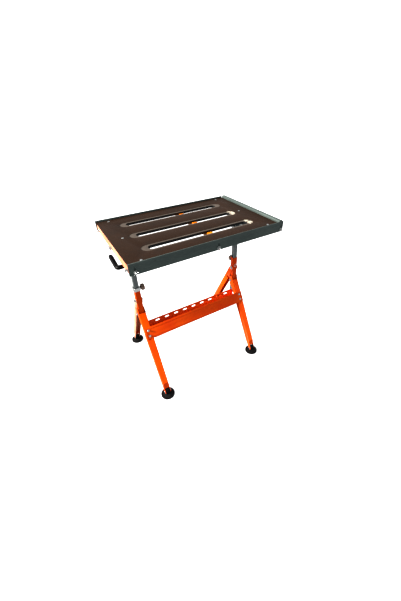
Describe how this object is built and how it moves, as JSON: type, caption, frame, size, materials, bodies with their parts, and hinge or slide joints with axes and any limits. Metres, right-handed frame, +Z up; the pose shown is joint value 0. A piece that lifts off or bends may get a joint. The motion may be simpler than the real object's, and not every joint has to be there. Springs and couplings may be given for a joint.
{
  "type": "welding table",
  "caption": "Folding welding table: slotted steel top with sliding guide rails tilts on telescoping uprights over splayed orange legs with round swivel feet.",
  "frame": {"origin": "on the floor, under the middle of the overall box", "axes": "+X along the long side of the top towards the folded right rail, -Y towards the working side, +Z up"},
  "size_m": [0.7804, 0.566, 0.864],
  "materials": {
    "mill_steel": "hot-rolled mill scale, worn",
    "rail_steel": "hot-rolled dark steel",
    "orange_paint": "orange powder coat",
    "tube_steel": "plain steel tube",
    "zinc": "zinc plated",
    "black_rubber": "moulded rubber",
    "black_grip": "dipped vinyl grip over steel",
    "knob_metal": "turned knob"
  },
  "bodies": {
    "stand": {"sleeve_left": "orange_paint", "sleeve_right": "orange_paint", "front_leg_left": "orange_paint", "front_leg_right": "orange_paint", "crossbar": "orange_paint", "crossbar_screw_left_upper": "zinc", "crossbar_screw_left_lower": "zinc", "crossbar_screw_right_upper": "zinc", "crossbar_screw_right_lower": "zinc", "leg_bolt_left": "zinc", "leg_bolt_right": "zinc", "pivot_bolt_left": "zinc", "pivot_bolt_right": "zinc", "collar_left": "zinc"},
    "carriage": {"inner_tube_left": "tube_steel", "inner_tube_right": "tube_steel", "hinge_bolt_left": "zinc", "hinge_bolt_right": "zinc", "lock_stud": "zinc", "guide_bolt_right": "zinc"},
    "tabletop": {"top_plate": "mill_steel", "rivet_left_front": "zinc", "rivet_left_middle": "zinc", "rivet_left_back": "zinc", "rivet_right_front": "zinc", "rivet_right_middle": "zinc", "rivet_right_back": "zinc", "side_channel_left": "orange_paint", "side_channel_right": "orange_paint", "edge_bar_front": "orange_paint", "edge_bar_back": "orange_paint", "centre_brace": "orange_paint", "tilt_plate_left": "tube_steel", "tilt_plate_right": "tube_steel"},
    "front_guide_rail": {"rail_front": "rail_steel"},
    "back_guide_rail": {"rail_back": "rail_steel"},
    "right_guide_rail": {"rail_right": "rail_steel"},
    "tilt_lock_lever": {"lock_lever": "black_grip"},
    "left_height_knob": {"height_knob_left": "knob_metal"},
    "right_height_knob": {"height_knob_right": "knob_metal"},
    "left_rear_leg": {"rear_leg_left": "orange_paint"},
    "right_rear_leg": {"rear_leg_right": "orange_paint"},
    "front_left_pad": {"foot_pad_front_left": "black_rubber"},
    "front_right_pad": {"foot_pad_front_right": "black_rubber"},
    "rear_left_pad": {"foot_pad_rear_left": "black_rubber"},
    "rear_right_pad": {"foot_pad_rear_right": "black_rubber"},
    "front_rail_screw_left_body": {"front_rail_screw_left": "zinc"},
    "front_rail_screw_middle_body": {"front_rail_screw_middle": "zinc"},
    "front_rail_screw_right_body": {"front_rail_screw_right": "zinc"},
    "back_rail_screw_left_body": {"back_rail_screw_left": "zinc"},
    "back_rail_screw_middle_body": {"back_rail_screw_middle": "zinc"},
    "back_rail_screw_right_body": {"back_rail_screw_right": "zinc"},
    "right_rail_screw_front_body": {"right_rail_screw_front": "zinc"},
    "right_rail_screw_middle_body": {"right_rail_screw_middle": "zinc"},
    "right_rail_screw_back_body": {"right_rail_screw_back": "zinc"},
    "left_end_screw_front_body": {"left_end_screw_front": "zinc"},
    "left_end_screw_middle_body": {"left_end_screw_middle": "zinc"},
    "left_end_screw_back_body": {"left_end_screw_back": "zinc"}
  },
  "joints": [
    {"name": "height_slide", "type": "slide", "parent": "stand", "child": "carriage", "axis": [0, 0, 1], "range_m": [-0.08, 0.07]},
    {"name": "top_tilt", "type": "hinge", "parent": "carriage", "child": "tabletop", "pos_m": [-0.0119, -0.0115, 0.766], "axis": [1, 0, 0], "range_deg": [0, 90]},
    {"name": "front_rail_slide", "type": "slide", "parent": "tabletop", "child": "front_guide_rail", "axis": [0, 0, 1], "range_m": [-0.018, 0]},
    {"name": "back_rail_slide", "type": "slide", "parent": "tabletop", "child": "back_guide_rail", "axis": [0, 0, 1], "range_m": [-0.018, 0]},
    {"name": "right_rail_slide", "type": "slide", "parent": "tabletop", "child": "right_guide_rail", "axis": [0, 0, 1], "range_m": [-0.018, 0]},
    {"name": "tilt_lock_turn", "type": "hinge", "parent": "carriage", "child": "tilt_lock_lever", "pos_m": [-0.3269, -0.0115, 0.721], "axis": [1, 0, 0], "range_deg": [-60, 0]},
    {"name": "left_height_knob_turn", "type": "hinge", "parent": "stand", "child": "left_height_knob", "pos_m": [-0.2892, -0.0115, 0.5823], "axis": [1, 0, 0], "continuous": true},
    {"name": "right_height_knob_turn", "type": "hinge", "parent": "stand", "child": "right_height_knob", "pos_m": [0.2851, 0.0052, 0.564], "axis": [0, 1, 0], "continuous": true},
    {"name": "left_rear_leg_fold", "type": "hinge", "parent": "stand", "child": "left_rear_leg", "pos_m": [-0.3089, -0.0115, 0.514], "axis": [1, 0, 0], "range_deg": [-27.5, 0]},
    {"name": "right_rear_leg_fold", "type": "hinge", "parent": "stand", "child": "right_rear_leg", "pos_m": [0.2851, -0.0115, 0.514], "axis": [1, 0, 0], "range_deg": [-27.5, 0]},
    {"name": "front_left_pad_swivel", "type": "hinge", "parent": "stand", "child": "front_left_pad", "pos_m": [-0.3089, -0.2455, 0.028], "axis": [1, 0, 0], "range_deg": [-18, 18]},
    {"name": "front_right_pad_swivel", "type": "hinge", "parent": "stand", "child": "front_right_pad", "pos_m": [0.2851, -0.2455, 0.028], "axis": [1, 0, 0], "range_deg": [-18, 18]},
    {"name": "rear_left_pad_swivel", "type": "hinge", "parent": "left_rear_leg", "child": "rear_left_pad", "pos_m": [-0.3089, 0.2455, 0.028], "axis": [1, 0, 0], "range_deg": [-18, 18]},
    {"name": "rear_right_pad_swivel", "type": "hinge", "parent": "right_rear_leg", "child": "rear_right_pad", "pos_m": [0.2851, 0.2455, 0.028], "axis": [1, 0, 0], "range_deg": [-18, 18]},
    {"name": "front_rail_screw_left_turn", "type": "hinge", "parent": "tabletop", "child": "front_rail_screw_left_body", "pos_m": [-0.3569, -0.2581, 0.822], "axis": [0, -1, 0], "continuous": true},
    {"name": "front_rail_screw_middle_turn", "type": "hinge", "parent": "tabletop", "child": "front_rail_screw_middle_body", "pos_m": [0.0081, -0.2581, 0.822], "axis": [0, -1, 0], "continuous": true},
    {"name": "front_rail_screw_right_turn", "type": "hinge", "parent": "tabletop", "child": "front_rail_screw_right_body", "pos_m": [0.3641, -0.2581, 0.822], "axis": [0, -1, 0], "continuous": true},
    {"name": "back_rail_screw_left_turn", "type": "hinge", "parent": "tabletop", "child": "back_rail_screw_left_body", "pos_m": [-0.3569, 0.2351, 0.822], "axis": [0, 1, 0], "continuous": true},
    {"name": "back_rail_screw_middle_turn", "type": "hinge", "parent": "tabletop", "child": "back_rail_screw_middle_body", "pos_m": [-0.0119, 0.2351, 0.822], "axis": [0, 1, 0], "continuous": true},
    {"name": "back_rail_screw_right_turn", "type": "hinge", "parent": "tabletop", "child": "back_rail_screw_right_body", "pos_m": [0.3331, 0.2351, 0.822], "axis": [0, 1, 0], "continuous": true},
    {"name": "right_rail_screw_front_turn", "type": "hinge", "parent": "tabletop", "child": "right_rail_screw_front_body", "pos_m": [0.3767, -0.2255, 0.822], "axis": [1, 0, 0], "continuous": true},
    {"name": "right_rail_screw_middle_turn", "type": "hinge", "parent": "tabletop", "child": "right_rail_screw_middle_body", "pos_m": [0.3767, -0.0115, 0.822], "axis": [1, 0, 0], "continuous": true},
    {"name": "right_rail_screw_back_turn", "type": "hinge", "parent": "tabletop", "child": "right_rail_screw_back_body", "pos_m": [0.3767, 0.2025, 0.822], "axis": [1, 0, 0], "continuous": true},
    {"name": "left_end_screw_front_turn", "type": "hinge", "parent": "tabletop", "child": "left_end_screw_front_body", "pos_m": [-0.3767, -0.2255, 0.822], "axis": [-1, 0, 0], "continuous": true},
    {"name": "left_end_screw_middle_turn", "type": "hinge", "parent": "tabletop", "child": "left_end_screw_middle_body", "pos_m": [-0.3767, -0.0115, 0.822], "axis": [-1, 0, 0], "continuous": true},
    {"name": "left_end_screw_back_turn", "type": "hinge", "parent": "tabletop", "child": "left_end_screw_back_body", "pos_m": [-0.3767, 0.2025, 0.822], "axis": [-1, 0, 0], "continuous": true}
  ]
}
